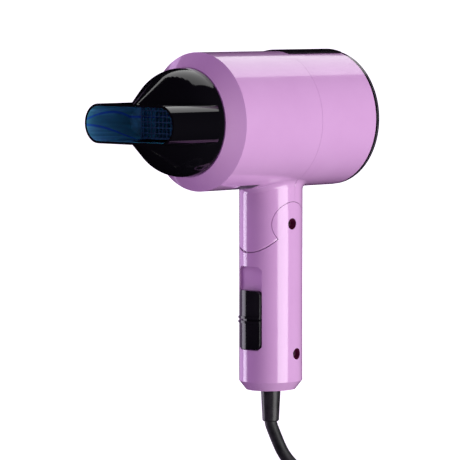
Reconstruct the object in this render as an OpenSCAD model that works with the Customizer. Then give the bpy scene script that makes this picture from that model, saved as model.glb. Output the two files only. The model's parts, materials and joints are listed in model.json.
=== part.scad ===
// Foldable travel hair dryer with a push-on concentrator nozzle.
// The origin is the centre of the hand grip. +Z is up and the nozzle blows towards -Y.

/* [Barrel] */
// Outside diameter of the barrel
barrel_d = 76.5; // [64:1:92]
// Barrel length in front of the shell seam
front_len = 67.5; // [66:0.1:82]
// Barrel length behind the shell seam
rear_len = 43.4; // [43:0.1:56]
// Wall of the moulded shells
shell_wall = 2; // [1.6:0.1:2.4]
// Size of the 45 degree front bevel
front_bevel = 8; // [6:0.1:10]
// Width of the inlay strip on top of the rear shell, in degrees
strip_angle = 34; // [20:1:50]

/* [Handle] */
// Width of the grip, side to side
grip_w = 33.5; // [30:0.1:40]
// Depth of the grip, front to back
grip_d = 36.5; // [34:0.1:44]
// Grip length below the hinge
grip_len = 93.8; // [86:1:112]
// Wall of the grip shells
grip_wall = 1.8; // [1.4:0.1:2.2]
// Height and inset of the bottom chamfer
grip_chamfer = [5, 3.9];
// Height of the hinge above the grip's centre
hinge_up = 50.8; // [44:1:56]
// Clear height between the barrel's skin and the hinge
hinge_drop = 19.7; // [18:0.1:24]
// Radius of the hinge ears
ear_r = 12.2; // [11.4:0.1:12.4]
// Angle of the grip's front shoulder below the hinge, in degrees
shoulder_angle = 42; // [38:1:44]

/* [Nozzle] */
// Width of the nozzle's flat blade
blade_w = 70.3; // [60:0.1:72]
// Thickness of the nozzle's flat blade
blade_t = 21.7; // [18:0.1:24]
// Reach of the nozzle in front of the barrel
nozzle_len = 43.4; // [41:0.1:52]
// Radius of the nozzle's round base
dome_r = 29.9; // [28.6:0.1:30.1]
// Slope of the dome behind its blade, in degrees
dome_slope = 36; // [32:1:38]
// Wall of the nozzle
nozzle_wall = 1.3; // [1.2:0.1:2]

/* [Switch] */
// Length of the switch slider
slider_len = 33; // [28:0.1:36]
// Width of the switch slider
slider_w = 16; // [13:0.1:16.4]
// Distance that the slider travels
slider_travel = 13.2; // [8:0.2:14]

/* [Cord] */
// Diameter of the power cord
cord_d = 7; // [6.5:0.1:7.5]
// Diameter of the plug's pins
pin_d = 4.8; // [4:0.1:4.8]
// Distance between the plug's pins
pin_pitch = 19; // [18:0.1:20]

/* [Hidden] */
$fn = 96;
eps = 0.01;
touch = 0.3;       // gap between parts that move past each other
run = 0.05;        // radial clearance of a running fit

// Places along the barrel, forward of the handle's axis.
barrel_r = barrel_d / 2;
bore_r = barrel_r - shell_wall;
barrel_z = hinge_up + hinge_drop + barrel_r;
seam = -2;
front_end = seam + front_len;
rear_end = seam - rear_len;
bevel_r = barrel_r - front_bevel;
lip_r = bevel_r - 1.4;

// Outlet end.
outlet_ring_r = lip_r - 0.2;
outlet_wall = 2;
outlet_start = front_end - 14.2;
outlet_tip = front_end + 0.2;
grille_step = 5;
grille_bar = 1.1;
snap_r = outlet_ring_r - outlet_wall - run;
snap_wall = 1.6;
collar_r = snap_r - snap_wall - run;
snap_start = front_end - 10;
snap_end = front_end - 1;
nozzle_base = front_end + 0.6;
dome_turn = 26;
dome_start = 3;
dome_knee = dome_start + dome_turn * sin(dome_slope);
dome_knee_r = dome_r - dome_turn * (1 - cos(dome_slope));
dome_tip_r = blade_t / 2 - 1;
dome_tip = dome_knee + (dome_knee_r - dome_tip_r) / tan(dome_slope);
collar_wall = 1.6;
nozzle_plate_r = max(dome_r, outlet_ring_r + 1);
nozzle_throat_r = min(collar_r - collar_wall, dome_r - nozzle_wall - 1.2);
blade_end = [9.6, 3.5];        // where the blade's rear corners start and stop, from the base
blade_corner = 7.9;            // how far those corners step in

// Intake end.
intake_lip = 2.8;
rim_gap = 0.15;
rim_r = bore_r + 1;
grille_back = rear_end - intake_lip;
plate_t = 3.2;
slot_r = 0.455 * barrel_d;
flat_reach = 0.4 * barrel_d;
flat_sector = 19;
cap_size = [0.4 * barrel_d, 0.336 * barrel_d];
cap_round = 6;
rib_count = 46;
rib_w = 1.3;
rib_drop = 1;
screen_t = 0.6;
strip_t = 0.9;
strip_proud = 0.8;
lip_wall = 1.2;                // the front shell's lip that the rear shell slips over
lip_len = 1.8;
label_size = [30, 15, 0.4];
label_from = 24;               // from the hinge's plane forwards to the label
rim_height = 3;

// Fan, motor and heater, from back to front.
duct_r = bore_r - 2;
duct_wall = 1.5;
duct_span = [rear_end + 3.7, seam - 2];
fan_hub_r = 14;
fan_span = [duct_span[0] + 3, duct_span[0] + 16];
fan_tip_r = duct_r - duct_wall - 0.8;
blades = 11;
vanes = 9;
holder_r = 15.5;
motor_r = 13.9;
motor_span = [fan_span[1] + 2, fan_span[1] + 30];
holder_span = [motor_span[0], duct_span[1] - 2];
can_wall = 1;
shaft_r = 1;
shaft_end = motor_span[1] + 3;
bush_r = 3;
bush_len = 4;
armature_r = 9.5;
magnet_r = [10.4, motor_r - can_wall];
board_span = [motor_span[1] + 6, outlet_start - 0.4];
board_half = 23.6;
board_t = 0.8;
wire_r = 0.8;
coil_rows = 6;
sleeve_r = [26.8, 27.2];

// Neck and hinge, measured from the hinge's axis.
hinge_z = hinge_up;
ear_in = 10.5;                 // inner faces of the ears
cheek = ear_in - 0.1;          // side faces of the neck between the ears
pocket_r = ear_r + 0.3;
knuckle_r = 9.5;
knuckle_half = 9.9;
boss_r = 5;
boss_bore = boss_r + run;
edge_t = 0.6;                  // thickness of the grip's wall at its front shoulder
neck_bottom = 8;               // below this the neck runs inside the grip
cavity_floor = 10.5;
foot_t = 8;                    // height of the knuckle's foot
stalk = [8, 10, 5];             // block that joins the knuckle to its foot
wire_hole_y = 7.6;
wire_hole_r = 1.9;
knuckle_screw_at = [5, -12.4];
screw_r = 1.25;
sweep_steps = 28;
fold_angle = 77;

// Grip.
grip_round = min(grip_w, grip_d) / 2;
grip_shift = grip_d / 2 - grip_round;
grip_widen = grip_w / 2 - grip_round;
grip_bottom = hinge_z - grip_len;
grip_floor = 2.5;
hole_r = 3.2;
hole_depth = 4;
hinge_screw_r = 1.5;
grip_screw_z = grip_bottom + 20.6;
grip_screw_y = 4;
post_r = 4.4;

// Switch track.
track_half = slider_w / 2 + 0.6;
track_floor = -grip_d / 2 + 3.4;
track_top = hinge_z - 23.8;
slider_low = track_top - 0.2 - slider_travel - slider_len;
track_low = slider_low - 0.5;
track_corner = 2;
stem_w = 3.6;
stem_h = 4;
slot_play = 0.3;
slot_half = stem_w / 2 + slot_play;
switch_wall = 1.6;
switch_size = [13, 9, 30];
switch_front = track_floor + switch_wall + 2.4;
slider_crown = 0.8;
ridge_crown = 1.5;
ridge_pitch = 2.5;
ridge_h = 1.4;
ridge_reach = ridge_pitch / 2 + ridge_h / 2;
stem_mid = slider_low + slider_len / 2;

// Strain relief and cord.
relief_len = 18.4;
relief_r = [5.6, 4.7];
relief_flange_r = 7.5;
relief_neck_r = 4.2;
flange_t = 2.1;
cord_exit = grip_bottom - relief_len;
clamp_size = [22, 10, 6];
clamp_bore = 3.2;
clamp_screw_x = 7.6;
clamp_screw_r = 1.2;
clamp_head = [2.4, 1.4];
clamp_z = grip_screw_z - post_r - 0.3 - clamp_head[1] - clamp_size[2];
ledge_in = 5;
ledge_t = 3;
surface_z = -116;
tie_t = 0.8;
tie_w = 9;
coil_r = [29.5, 50.5];
coil_at = [34.9, -31.4];
coil_bottom = surface_z + tie_t;
coil_top = coil_bottom + 2 * cord_d;
cord_sides = 10;

// The cord from the strain relief to the coil, then the lead from the coil to the plug.
drop_route = [
    [0, 0, -61.4], [0, 0, -62.4], [0.6, 0.6, -65], [1.8, 1.9, -69.4], [3.3, 3.5, -75], [5.2, 5.4, -80.5],
    [8.3, 8.0, -85.6], [13.1, 10.9, -90.1], [19.2, 13.4, -94.2], [25.7, 14.9, -97.9],
    [32.4, 15.6, -100.8], [38.6, 15.5, -102.9], [44.3, 14.6, -104.2], [48.2, 13.7, -104.7]
];
lead_route = [
    [38.5, 15.5, -111.7], [48.6, 16.6, -111.7], [59.0, 16.2, -111.7], [69.0, 11.5, -111.7],
    [77.0, 3.5, -111.7], [83.5, -6.0, -111.7], [88.0, -17.0, -111.7], [89.6, -28.5, -111.7], [88.6, -40.0, -111.7],
    [85.0, -51.5, -111.7], [79.0, -62.0, -111.7], [71.0, -71.0, -111.7], [61.5, -78.5, -111.7],
    [50.0, -83.5, -111.7], [37.5, -86.0, -111.6], [25.0, -86.5, -110.6], [12.0, -86.5, -108.0],
    [0, -86.5, -105.2], [-10, -86.5, -104.0], [-20, -86.5, -103.8]
];
plug_end = [-20, -86.5, -103.8];
plug_len = 40;
plug_half = [17, 11.5];
plug_taper = 18;
grip_dent = 12;
pin_len = 19;

// Puts children into the barrel's frame: local +Z runs forward, local +Y is up.
module in_barrel() {
    translate([0, 0, barrel_z]) rotate([90, 0, 0]) children();
}

module tube(r_out, r_in, span) {
    translate([0, 0, span[0]])
        difference() {
            cylinder(r = r_out, h = span[1] - span[0]);
            translate([0, 0, -1]) cylinder(r = r_in, h = span[1] - span[0] + 2);
        }
}

// A cylinder along X through the hinge's axis, between two places on X.
module hinge_rod(r, from, to) {
    translate([from, 0, hinge_z]) rotate([0, 90, 0]) cylinder(r = r, h = to - from);
}

// Outline of the grip and the neck, moved inwards by inset.
module grip_outline(inset = 0) {
    r = grip_round - inset;
    for (side = [-1, 1])
        translate([side * grip_widen, side * grip_shift]) circle(r = r);
    if (grip_shift > 0) square([2 * r, 2 * grip_shift], center = true);
    if (grip_widen > 0) square([2 * grip_widen, 2 * r], center = true);
}

module grip_prism(from, to, inset = 0) {
    translate([0, 0, from]) linear_extrude(to - from) grip_outline(inset);
}

function grip_front(x) = grip_shift + sqrt(max(0, pow(grip_round, 2) - pow(max(0, abs(x) - grip_widen), 2)));
function sweep_r(x) = (grip_front(x) - edge_t) / cos(shoulder_angle);
sweep_reach = grip_widen
    + sqrt(pow(grip_round, 2) - pow(pocket_r * cos(shoulder_angle) + edge_t - grip_shift, 2));

// What the neck sweeps inside the grip: a body of revolution about the hinge's axis.
module neck_sweep(grow = 0) {
    rim = [for (i = [0 : sweep_steps])
        let (x = -sweep_reach + 2 * sweep_reach * i / sweep_steps)
        [sweep_r(x) + grow, x]];
    outline = concat(
        [[0, -cheek - grow], [pocket_r - grow, -cheek - grow], [pocket_r - grow, -sweep_reach]],
        rim,
        [[pocket_r - grow, sweep_reach], [pocket_r - grow, cheek + grow], [0, cheek + grow]]
    );
    translate([0, 0, hinge_z]) rotate([0, 90, 0]) rotate_extrude() polygon(outline);
}

// The wedge below the hinge that the neck's end swings through as the dryer folds.
module swing_wedge() {
    reach = 2 * grip_d;
    from = shoulder_angle - 3;
    to = shoulder_angle + fold_angle + 3;
    translate([0, 0, hinge_z]) rotate([90, 0, 90]) linear_extrude(2 * grip_w, center = true) polygon([
        [0, 0], -reach * [cos(from), sin(from)], [-reach, -reach], -reach * [cos(to), sin(to)]
    ]);
}

// Everything in front of and above the sloping shoulder plane, and behind the hinge above it.
module above_shoulder(lift = 0) {
    reach = 2 * grip_d;
    side = [
        [0, 0], [-reach * cos(shoulder_angle), -reach * sin(shoulder_angle)],
        [-reach, reach], [reach, reach], [reach, 0]
    ];
    translate([0, 0, hinge_z + lift]) rotate([90, 0, 90])
        linear_extrude(2 * grip_w, center = true) polygon(side);
}

module neck_solid() {
    difference() {
        intersection() {
            grip_prism(hinge_z - ear_r - 6, barrel_z);
            above_shoulder(touch / 2);
            union() {
                neck_sweep();
                translate([-grip_w, -grip_d, hinge_z - neck_bottom])
                    cube([2 * grip_w, 2 * grip_d, 2 * barrel_r]);
            }
        }
        for (side = [-1, 1]) {
            middle = side * (cheek + grip_w / 2);
            hinge_rod(pocket_r, middle - grip_w / 2, middle + grip_w / 2);
        }
        hinge_rod(knuckle_r + 0.1, -cheek - 1, cheek + 1);
    }
}

module neck_cavity() {
    intersection() {
        grip_prism(hinge_z + cavity_floor, barrel_z, shell_wall);
        translate([-cheek + 2, -grip_d, hinge_z]) cube([2 * cheek - 4, 2 * grip_d, 2 * barrel_r]);
    }
    knuckle_stalk(0.1);
    wire_hole(wire_hole_r + 0.1);
}

// The block between the knuckle's barrel and its foot, and the hole for the barrel's wires beside it.
module knuckle_stalk(grow) {
    translate([-stalk[0] / 2 - grow, -stalk[1] / 2 - grow, hinge_z + knuckle_r - 2.5])
        cube([stalk[0] + 2 * grow, stalk[1] + 2 * grow, stalk[2]]);
}

module wire_hole(r) {
    translate([0, wire_hole_y, hinge_z - 12]) cylinder(r = r, h = 40);
}

module barrel_skin() {
    in_barrel() rotate_extrude() polygon([
        [0, rear_end], [barrel_r, rear_end], [barrel_r, front_end - front_bevel],
        [bevel_r, front_end], [0, front_end]
    ]);
}

module barrel_bore() {
    in_barrel() rotate_extrude() polygon([
        [0, rear_end - 1], [bore_r, rear_end - 1], [bore_r, front_end - front_bevel - 1],
        [lip_r, front_end - front_bevel - 1 + bore_r - lip_r], [lip_r, front_end + 1], [0, front_end + 1]
    ]);
}

// Half of the space, in front of (side = -1) or behind (side = 1) the shell seam.
module seam_side(side) {
    big = 4 * barrel_d;
    translate([0, -seam + side * (big / 2 + 0.05), barrel_z - barrel_r])
        cube([big, big, big], center = true);
}

// The two screws that hold the knuckle's foot down in the front half of the neck.
module knuckle_screw_rods(r, from, to) {
    for (side = [-1, 1])
        translate([side * knuckle_screw_at[0], knuckle_screw_at[1], hinge_z + from])
            cylinder(r = r, h = to - from);
}

module front_barrel_shell() {
    color("#dca6de")
        intersection() {
            seam_side(-1);
            difference() {
                union() {
                    barrel_skin();
                    neck_solid();
                }
                barrel_bore();
                neck_cavity();
                label_block(0);
                knuckle_screw_rods(screw_r, cavity_floor + foot_t - 14.2, cavity_floor + foot_t);
            }
        }
    color("#dca6de") in_barrel() {
        tube(bore_r + eps, bore_r - lip_wall, [seam + 1, seam + 6]);
        tube(bore_r - 0.1, bore_r - lip_wall, [seam - lip_len, seam + 1 + eps]);
    }
}

module rear_barrel_shell() {
    color("#d8a0da")
        difference() {
            intersection() {
                seam_side(1);
                difference() {
                    union() {
                        barrel_skin();
                        neck_solid();
                    }
                    barrel_bore();
                    neck_cavity();
                }
            }
            in_barrel() strip_block(barrel_r + 1, barrel_r - strip_t, seam - 1);
            in_barrel() translate([0, 0, rear_end - 1]) cylinder(r = rim_r + 0.05, h = 1 + rim_height);
        }
}

// A sector of a ring on top of the rear shell, up to the given place.
module strip_block(r_out, r_in, front) {
    rotate([0, 0, 90 - strip_angle / 2]) translate([0, 0, rear_end])
        rotate_extrude(angle = strip_angle) translate([r_in, 0]) square([r_out - r_in, front - rear_end]);
}

module top_trim_strip() {
    color("#151217")
        in_barrel()
            strip_block(barrel_r + strip_proud, barrel_r - strip_t, seam - 1.05);
}

// A blank plate let into the front shell's belly, ahead of the neck.
module label_block(sunk) {
    intersection() {
        in_barrel() tube(barrel_r - sunk + 0.05, barrel_r - label_size[2], [20, 55]);
        translate([-label_size[0] / 2, -label_from - label_size[1], 0])
            cube([label_size[0], label_size[1], barrel_z]);
    }
}

module rating_label() {
    color("#8f8a94") label_block(0.1);
}

module cap_outline(inset = 0) {
    half = [cap_size[0] / 2 - cap_round, cap_size[1] / 2 - cap_round];
    for (a = [-1, 1], b = [-1, 1])
        translate([a * half[0], b * half[1]]) circle(r = cap_round - inset);
    square([cap_size[0] - 2 * inset, 2 * half[1]], center = true);
    square([2 * half[0], cap_size[1] - 2 * inset], center = true);
}

// The openings' outer outline: a circle with four flats.
module slot_outline() {
    intersection() {
        circle(r = slot_r);
        union() {
            square([2 * flat_reach, 2 * flat_reach], center = true);
            for (turn = [0 : 90 : 270])
                rotate(45 + turn)
                    polygon([[0, 0], slot_r * 1.2 * [cos(45 - flat_sector), sin(45 - flat_sector)],
                        slot_r * 1.2 * [cos(45 - flat_sector), -sin(45 - flat_sector)]]);
        }
    }
}

module intake_grille() {
    color("#141216")
        in_barrel() translate([0, 0, grille_back]) {
            difference() {
                union() {
                    cylinder(r = rim_r, h = plate_t);
                    cylinder(r = barrel_r - rim_gap, h = intake_lip);
                }
                translate([0, 0, -1]) linear_extrude(plate_t + 2) slot_outline();
            }
            translate([0, 0, rib_drop]) linear_extrude(plate_t - rib_drop)
                intersection() {
                    union() {
                        cap_outline();
                        for (i = [0 : rib_count - 1])
                            rotate(360 * (i + 0.5) / rib_count) translate([0, -rib_w / 2])
                                square([slot_r + 1, rib_w]);
                    }
                    circle(r = slot_r + 0.5);
                }
            linear_extrude(rib_drop + eps) cap_outline(0.5);
            tube(rim_r, slot_r + 0.6, [plate_t - 0.5, intake_lip + rim_height]);
        }
}

module dust_screen() {
    color("#3a3a3e")
        in_barrel() translate([0, 0, grille_back + plate_t + 0.1]) cylinder(r = slot_r + 0.5, h = screen_t);
}

module knuckle_screws() {
    top = cavity_floor + foot_t;
    color("#b9bbc0") {
        knuckle_screw_rods(screw_r, top - 14, top);
        knuckle_screw_rods(2.2, top, top + 1.6);
    }
}

module fan_duct() {
    color("#26262a")
        in_barrel() {
            tube(duct_r, duct_r - duct_wall, duct_span);
            tube(bore_r, duct_r - eps, [duct_span[0], duct_span[0] + 2]);
            tube(bore_r, duct_r - eps, [duct_span[1] - 2, duct_span[1]]);
            tube(holder_r, motor_r, holder_span);
            for (i = [0 : vanes - 1])
                rotate(360 * (i + 0.25) / vanes) translate([holder_r - 0.5, -0.6, holder_span[0] + 2])
                    cube([duct_r - duct_wall - holder_r + 1, 1.2, holder_span[1] - holder_span[0] - 3]);
        }
}

module fan_blade() {
    length = fan_tip_r - fan_hub_r;
    chord = (fan_span[1] - fan_span[0]) * 0.9;
    translate([fan_hub_r - 1 + length / 2, 0, (fan_span[0] + fan_span[1]) / 2])
        rotate([38, 0, 0]) cube([length + 2, 1.2, chord], center = true);
}

module fan_impeller() {
    color("#33343a")
        in_barrel() difference() {
            union() {
                tube(fan_hub_r, shaft_r, [fan_span[0] + 1, fan_span[1]]);
                translate([0, 0, fan_span[0]]) cylinder(r1 = fan_hub_r - 3, r2 = fan_hub_r, h = 1 + eps);
                intersection() {
                    for (i = [0 : blades - 1]) rotate(360 * i / blades) fan_blade();
                    translate([0, 0, fan_span[0]]) cylinder(r = fan_tip_r, h = fan_span[1] - fan_span[0]);
                }
            }
            translate([0, 0, fan_span[0] - 1]) cylinder(r = shaft_r, h = 30);
        }
}

module motor_shaft() {
    color("#c9ccd0")
        in_barrel() translate([0, 0, fan_span[0] + 1]) cylinder(r = shaft_r, h = shaft_end - fan_span[0] - 1);
}

module motor_armature() {
    color("#8a4b2a")
        in_barrel() {
            tube(armature_r, shaft_r, [motor_span[0] + 6, motor_span[1] - 10]);
            tube(3.4, shaft_r, [motor_span[1] - 10 - eps, motor_span[1] - 5]);
        }
}

module motor_can() {
    color("#a9acb1")
        in_barrel() {
            tube(motor_r, motor_r - can_wall, [motor_span[0], motor_span[1]]);
            tube(motor_r - can_wall + eps, bush_r, [motor_span[0], motor_span[0] + 1.2]);
        }
}

module motor_magnets() {
    color("#3c3f45")
        in_barrel()
            for (turn = [20, 200])
                rotate(turn) translate([0, 0, motor_span[0] + 4])
                    rotate_extrude(angle = 140) translate([magnet_r[0], 0])
                        square([magnet_r[1] - magnet_r[0], motor_span[1] - motor_span[0] - 12]);
}

module motor_end_cap() {
    color("#e8e4da")
        in_barrel() tube(motor_r - can_wall, bush_r, [motor_span[1] - 3, motor_span[1]]);
}

module motor_bearings() {
    color("#b08d57")
        in_barrel() {
            tube(bush_r, shaft_r + run, [motor_span[0] - 0.8, motor_span[0] + bush_len]);
            tube(bush_r, shaft_r + run, [motor_span[1] - bush_len + 0.5, motor_span[1] + 1]);
        }
}

module rectifier_board() {
    color("#2e6b3a")
        in_barrel() {
            tube(motor_r, bush_r + 0.4, [motor_span[1], motor_span[1] + 1.2]);
            for (turn = [0 : 90 : 270])
                rotate(turn + 45) translate([8.6, 0, motor_span[1] + 1.2]) cylinder(r = 1.3, h = 3.4);
        }
}

// Two crossed boards. The upright one starts further back, so that they slot together.
module heater_boards() {
    length = board_span[1] - board_span[0];
    color("#c9b48c")
        in_barrel() difference() {
            union() {
                translate([-board_half, -board_t / 2, board_span[0]]) cube([2 * board_half, board_t, length]);
                translate([-board_t / 2, -board_half, board_span[0]]) cube([board_t, 2 * board_half, length]);
                tube(sleeve_r[0], board_half - 1.2, [board_span[0], board_span[0] + 1.6]);
            }
            translate([0, 0, board_span[0] - 1]) cylinder(r = 5, h = 7);
        }
}

module heating_coils() {
    pitch = (board_span[1] - board_span[0] - 8) / coil_rows;
    color("#8d8f94")
        in_barrel()
            for (i = [0 : coil_rows - 1])
                translate([0, 0, board_span[0] + 5 + pitch * i])
                    rotate_extrude() translate([board_half + wire_r, 0]) circle(r = wire_r, $fn = 24);
}

module mica_sleeve() {
    color("#b9a06e")
        in_barrel() tube(sleeve_r[1], sleeve_r[0], [duct_span[1] + 1, outlet_start + 0.95]);
}

module thermostat() {
    color("#d9d3c3")
        in_barrel() translate([6, board_t / 2, board_span[0] + 3]) {
            cube([8, 2.4, 14]);
            translate([2.5, 2.4, 3]) cube([3, 0.6, 9]);
        }
}

module thermal_fuse() {
    color("#c7c9cc")
        in_barrel() translate([-14, board_t / 2 + 1.6, board_span[0] + 4])
            cylinder(r = 1.6, h = 11, $fn = 32);
}

module outlet_ring() {
    color("#1a181c")
        in_barrel() {
            tube(outlet_ring_r, outlet_ring_r - outlet_wall, [outlet_start + 1, outlet_tip]);
            tube(outlet_ring_r, outlet_ring_r - outlet_wall - 1.5, [outlet_start + 1, outlet_start + 1.8]);
            tube(outlet_ring_r, sleeve_r[1], [outlet_start, outlet_start + 1 + eps]);
        }
}

module outlet_grille() {
    count = floor(outlet_ring_r / grille_step);
    half = grille_step / 2;
    hole = grille_step - grille_bar;
    limit = outlet_ring_r - outlet_wall - grille_step * 0.72;
    color("#7f9fb0")
        in_barrel() translate([0, 0, outlet_start + 1.8]) linear_extrude(1.6)
            difference() {
                circle(r = outlet_ring_r - outlet_wall);
                for (i = [-count : count], j = [-count : count])
                    if (norm([i, j]) * grille_step < limit)
                        translate([i, j] * grille_step) square(hole, center = true);
            }
}

module nozzle_snap_ring() {
    color("#9aa0a6")
        in_barrel() tube(snap_r, snap_r - snap_wall, [snap_start, snap_end]);
}

// The dome's side: straight, then an arc, then a cone that ends inside the blade.
module dome(shrink, base) {
    arc_steps = 14;
    arc_points = [for (i = [0 : arc_steps])
        let (a = dome_slope * i / arc_steps)
        [dome_r - shrink - dome_turn * (1 - cos(a)), dome_start + dome_turn * sin(a)]];
    translate([0, 0, front_end]) rotate_extrude() polygon(concat(
        [[0, base], [dome_r - shrink, base]], arc_points, [[dome_tip_r - shrink, dome_tip], [0, dome_tip]]
    ));
}

// The flat blade: a rounded bar seen from the front, with cut rear corners seen from above.
module blade(shrink, past) {
    half_w = blade_w / 2 - shrink;
    half_t = blade_t / 2 - shrink;
    flat = half_w - half_t;
    intersection() {
        translate([0, 0, front_end]) linear_extrude(nozzle_len + past) union() {
            for (side = [-1, 1]) translate([side * flat, 0]) circle(r = half_t);
            square([2 * flat, 2 * half_t], center = true);
        }
        translate([0, blade_t, front_end]) rotate([90, 0, 0]) linear_extrude(2 * blade_t) polygon([
            [half_w + 1, nozzle_len + past], [half_w + 1, blade_end[0] + shrink],
            [half_w, blade_end[0] + shrink], [half_w - blade_corner, blade_end[1] + shrink],
            [-half_w + blade_corner, blade_end[1] + shrink], [-half_w, blade_end[0] + shrink],
            [-half_w - 1, blade_end[0] + shrink], [-half_w - 1, nozzle_len + past]
        ]);
    }
}

module concentrator_nozzle() {
    color("#17141a")
        in_barrel() {
            difference() {
                union() {
                    dome(0, nozzle_base - front_end);
                    blade(0, 0);
                    translate([0, 0, snap_start]) cylinder(r = collar_r, h = nozzle_base - snap_start + 1);
                    translate([0, 0, nozzle_base]) cylinder(r = nozzle_plate_r, h = nozzle_wall);
                }
                dome(nozzle_wall, nozzle_base - front_end + nozzle_wall);
                blade(nozzle_wall, 1);
                translate([0, 0, snap_start - 1])
                    cylinder(r = collar_r - collar_wall, h = nozzle_base - snap_start + 1);
                translate([0, 0, nozzle_base - 1]) cylinder(r = nozzle_throat_r, h = dome_start + 1);
            }
        }
}

module hinge_knuckle() {
    color("#1d1b20")
        difference() {
            union() {
                hinge_rod(knuckle_r, -knuckle_half, knuckle_half);
                intersection() {
                    grip_prism(hinge_z + cavity_floor, hinge_z + cavity_floor + foot_t, shell_wall);
                    translate([-cheek + 2, -grip_d, 0]) cube([2 * cheek - 4, 2 * grip_d, barrel_z]);
                }
                knuckle_stalk(0);
            }
            hinge_rod(boss_bore, -knuckle_half - 1, knuckle_half + 1);
            wire_hole(wire_hole_r);
            knuckle_screw_rods(screw_r, cavity_floor - 1, cavity_floor + foot_t + 1);
        }
}

module hinge_washers() {
    color("#c2c5c9")
        for (side = [-1, 1])
            difference() {
                hinge_rod(8, side * (knuckle_half + 0.3) - 0.25, side * (knuckle_half + 0.3) + 0.25);
                hinge_rod(boss_r, side * (knuckle_half + 0.3) - 1, side * (knuckle_half + 0.3) + 1);
            }
}

module hinge_screw() {
    color("#a7aab0")
        difference() {
            union() {
                hinge_rod(hole_r - 0.5, grip_w / 2 - hole_depth - 2.2, grip_w / 2 - hole_depth);
                hinge_rod(hinge_screw_r, -8, grip_w / 2 - hole_depth - 2);
            }
            for (turn = [0, 90])
                translate([grip_w / 2 - hole_depth - 0.4, 0, hinge_z]) rotate([turn, 0, 0])
                    cube([1.6, 3.6, 0.7], center = true);
        }
}

// The grip as one body, before it is split into its two shells.
module grip_body() {
    difference() {
        union() {
            grip_outside();
            for (side = [-1, 1])
                intersection() {
                    hinge_rod(ear_r, side * (ear_in + 10) - 10, side * (ear_in + 10) + 10);
                    grip_prism(hinge_z - ear_r - 1, hinge_z + ear_r + 1);
                }
        }
        difference() {
            union() {
                grip_prism(grip_bottom + grip_chamfer[0], hinge_z + ear_r + 2, grip_wall);
                grip_prism(grip_bottom + grip_floor, hinge_z, grip_wall + grip_chamfer[1]);
            }
            for (side = [-1, 1])
                intersection() {
                    hinge_rod(ear_r, side * (ear_in + 10) - 10, side * (ear_in + 10) + 10);
                    grip_prism(hinge_z - ear_r - 1, hinge_z + ear_r + 1);
                }
            track_backing();
        }
        intersection() {
            neck_sweep(touch);
            swing_wedge();
        }
        track_cut();
    }
    clamp_ledges();
}

// A ledge on each side of the grip that carries the cord clamp and takes its screws.
module clamp_ledges() {
    difference() {
        intersection() {
            for (side = [-1, 1])
                translate([side * (ledge_in + grip_w / 2), 0, clamp_z - ledge_t / 2 - 0.01])
                    cube([grip_w, clamp_size[1], ledge_t - 0.02], center = true);
            grip_prism(clamp_z - ledge_t - 1, clamp_z, grip_wall / 2);
        }
        clamp_screw_rods(clamp_screw_r + 0.05, -ledge_t - 1, 1);
    }
}

module grip_outside() {
    tall = grip_chamfer[0];
    inset = grip_chamfer[1];
    difference() {
        grip_prism(grip_bottom + tall, hinge_z + 1);
        above_shoulder(-touch / 2);
    }
    for (side = [-1, 1])
        translate([side * grip_widen, side * grip_shift, grip_bottom])
            cylinder(r1 = grip_round - inset, r2 = grip_round, h = tall);
    if (grip_shift > 0)
        translate([0, grip_shift, grip_bottom]) rotate([90, 0, 0])
            linear_extrude(2 * grip_shift) chamfer_side();
    if (grip_widen > 0)
        translate([-grip_widen, 0, grip_bottom]) rotate([90, 0, 90])
            linear_extrude(2 * grip_widen) chamfer_side();
}

module chamfer_side() {
    polygon([
        [-grip_round + grip_chamfer[1], 0], [grip_round - grip_chamfer[1], 0],
        [grip_round, grip_chamfer[0]], [-grip_round, grip_chamfer[0]]
    ]);
}

module track_shape(grow = 0) {
    half = track_half + grow;
    low = track_low - grow;
    top = track_top + grow;
    polygon([
        [-half, low + track_corner], [-half + track_corner, low], [half - track_corner, low],
        [half, low + track_corner], [half, top - track_corner], [half - track_corner, top],
        [-half + track_corner, top], [-half, top - track_corner]
    ]);
}

module track_cut() {
    translate([0, track_floor, 0]) rotate([90, 0, 0]) linear_extrude(grip_d) track_shape();
    translate([-slot_half, track_floor - 1, stem_mid - stem_h / 2 - slot_play])
        cube([2 * slot_half, 2 * switch_wall + 1, stem_h + 2 * slot_play + slider_travel]);
}

module track_backing() {
    translate([0, track_floor + switch_wall, 0]) rotate([90, 0, 0])
        linear_extrude(grip_d) track_shape(switch_wall);
}

module right_half() {
    translate([0.02, -grip_d, grip_bottom - 1]) cube([grip_w, 2 * grip_d, grip_len + ear_r + 4]);
}

module post(r, from, to) {
    translate([from, grip_screw_y, grip_screw_z]) rotate([0, 90, 0]) cylinder(r = r, h = to - from);
}

module relief_hole() {
    translate([0, 0, grip_bottom - 1]) cylinder(r = relief_neck_r, h = grip_floor + 2);
}

module handle_right_shell() {
    color("#dda8df")
        difference() {
            union() {
                intersection() {
                    grip_body();
                    right_half();
                }
                hinge_rod(boss_r, 0.02, ear_in + 1);
                post(post_r, 0.02, grip_w / 2 - grip_wall + 0.4);
            }
            hinge_rod(hole_r, grip_w / 2 - hole_depth, grip_w);
            hinge_rod(hole_r - 0.4, grip_w / 2 - hole_depth - 2.3, grip_w);
            hinge_rod(hinge_screw_r + 0.1, -1, grip_w);
            post(hole_r, grip_w / 2 - hole_depth, grip_w);
            post(hole_r - 0.4, grip_w / 2 - hole_depth - 2.3, grip_w);
            post(hinge_screw_r + 0.1, -1, grip_w);
            relief_hole();
        }
}

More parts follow.
